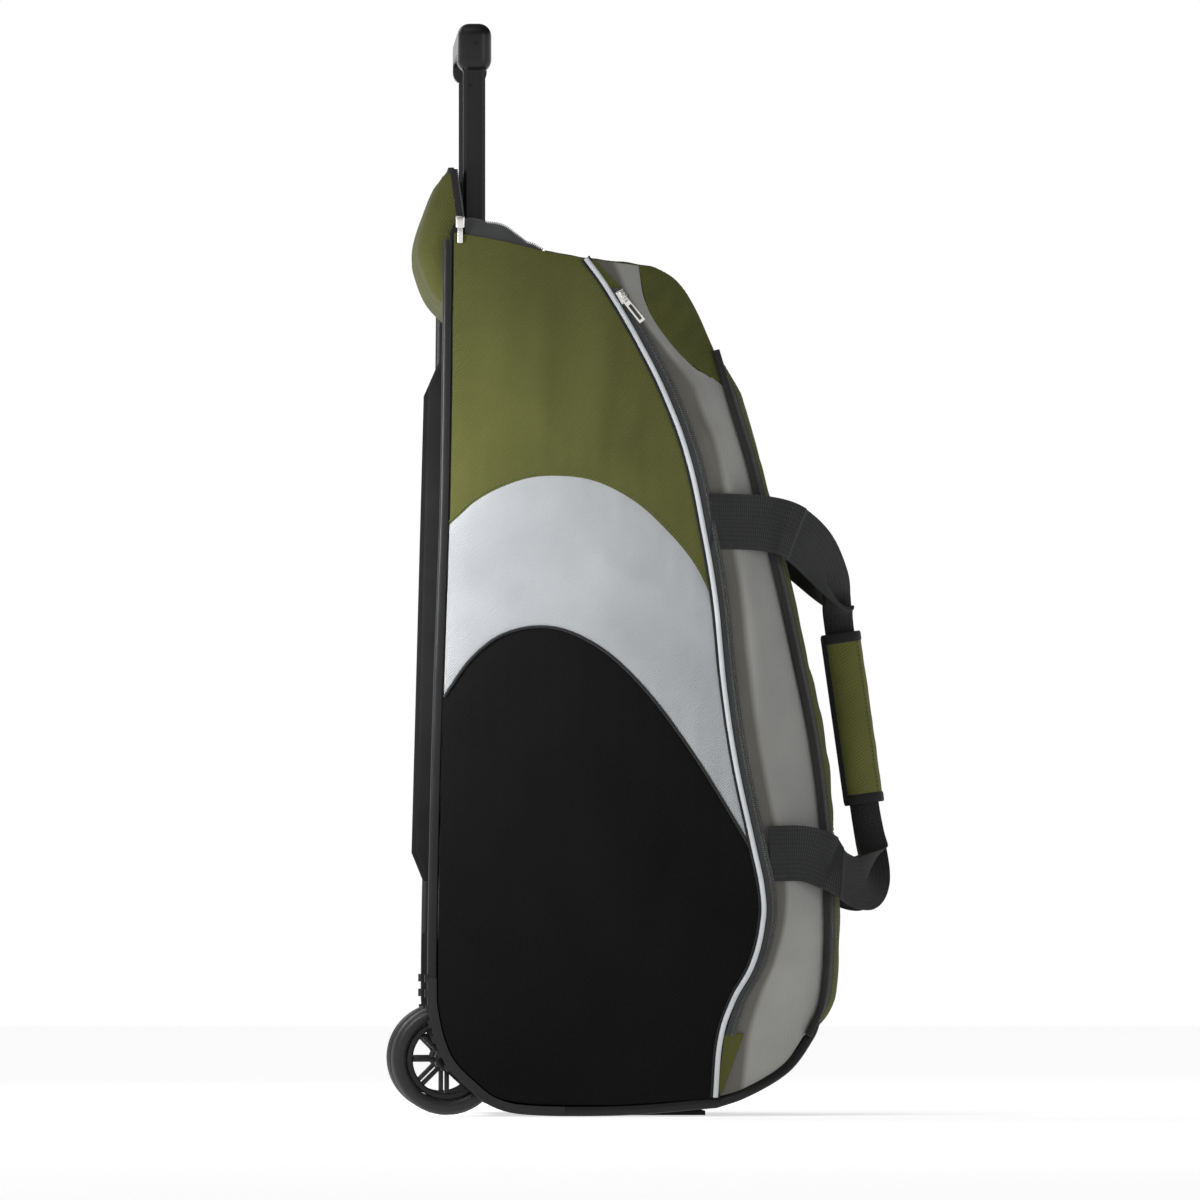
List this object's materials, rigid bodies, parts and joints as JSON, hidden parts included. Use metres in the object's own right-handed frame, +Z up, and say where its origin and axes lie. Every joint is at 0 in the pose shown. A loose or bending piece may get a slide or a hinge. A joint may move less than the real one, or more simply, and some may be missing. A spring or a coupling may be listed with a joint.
{
  "type": "wheeled bag",
  "caption": "Upright wheeled duffel bag with a telescopic handle, zipped cloth panels and carry straps joined by a wrap.",
  "frame": {"origin": "on the floor, in the middle of the moulded base's flat underside", "axes": "+Z up, +X towards the bag's front with its carry straps, -X the back with wheels and telescopic handle"},
  "size_m": [0.4551, 0.3596, 0.9879],
  "materials": {
    "olive_cloth": "woven nylon twill",
    "silver_cloth": "woven silver-grey nylon",
    "black_cloth": "woven black nylon",
    "grey_cloth": "smooth grey nylon",
    "webbing": "ribbed webbing",
    "black_plastic": "satin moulded plastic",
    "black_metal": "black anodised",
    "piping_white": "smooth light piping",
    "zip_tape": "knitted zip tape",
    "nickel": "polished nickel",
    "tyre_rubber": "soft black urethane"
  },
  "bodies": {
    "root": {"axle_left": "black_metal", "axle_right": "black_metal", "back_panel": "black_cloth", "back_rail_left": "black_plastic", "back_rail_right": "black_plastic", "base_shell": "black_plastic", "black_piping_left": "black_plastic", "black_piping_right": "black_plastic", "bottom_panel": "black_cloth", "edge_rim_left": "black_plastic", "edge_rim_right": "black_plastic", "flap": "olive_cloth", "front_gusset_left": "grey_cloth", "front_gusset_right": "grey_cloth", "front_panel": "olive_cloth", "front_zip_left": "zip_tape", "front_zip_right": "zip_tape", "handle_wrap": "olive_cloth", "main_zip_left": "zip_tape", "main_zip_right": "zip_tape", "mouth_zip_left": "zip_tape", "mouth_zip_right": "zip_tape", "outer_tube_left": "black_metal", "outer_tube_right": "black_metal", "pull_left": "nickel", "pull_right": "nickel", "shoulder_left": "olive_cloth", "shoulder_right": "olive_cloth", "side_arc_left": "silver_cloth", "side_arc_right": "silver_cloth", "side_lower_left": "black_cloth", "side_lower_right": "black_cloth", "side_upper_left": "olive_cloth", "side_upper_right": "olive_cloth", "slider_left": "nickel", "slider_right": "nickel", "strap_left": "webbing", "strap_right": "webbing", "top_panel": "olive_cloth", "tube_collar": "black_plastic", "tube_foot": "black_plastic", "white_piping_left": "piping_white", "white_piping_right": "piping_white"},
    "wheel_left": {"tyre_left": "tyre_rubber", "wheel_rim_left": "black_plastic"},
    "wheel_right": {"tyre_right": "tyre_rubber", "wheel_rim_right": "black_plastic"},
    "handle": {"inner_tube_left": "black_metal", "inner_tube_right": "black_metal", "grip": "black_plastic"}
  },
  "joints": [
    {"name": "handle_slide", "type": "slide", "parent": "root", "child": "handle", "axis": [0, 0, 1], "range_m": [-0.175, 0.22]},
    {"name": "wheel_left_spin", "type": "hinge", "parent": "root", "child": "wheel_left", "pos_m": [-0.1374, -0.136, 0.05], "axis": [0, 1, 0], "continuous": true},
    {"name": "wheel_right_spin", "type": "hinge", "parent": "root", "child": "wheel_right", "pos_m": [-0.1374, 0.136, 0.05], "axis": [0, 1, 0], "continuous": true}
  ]
}
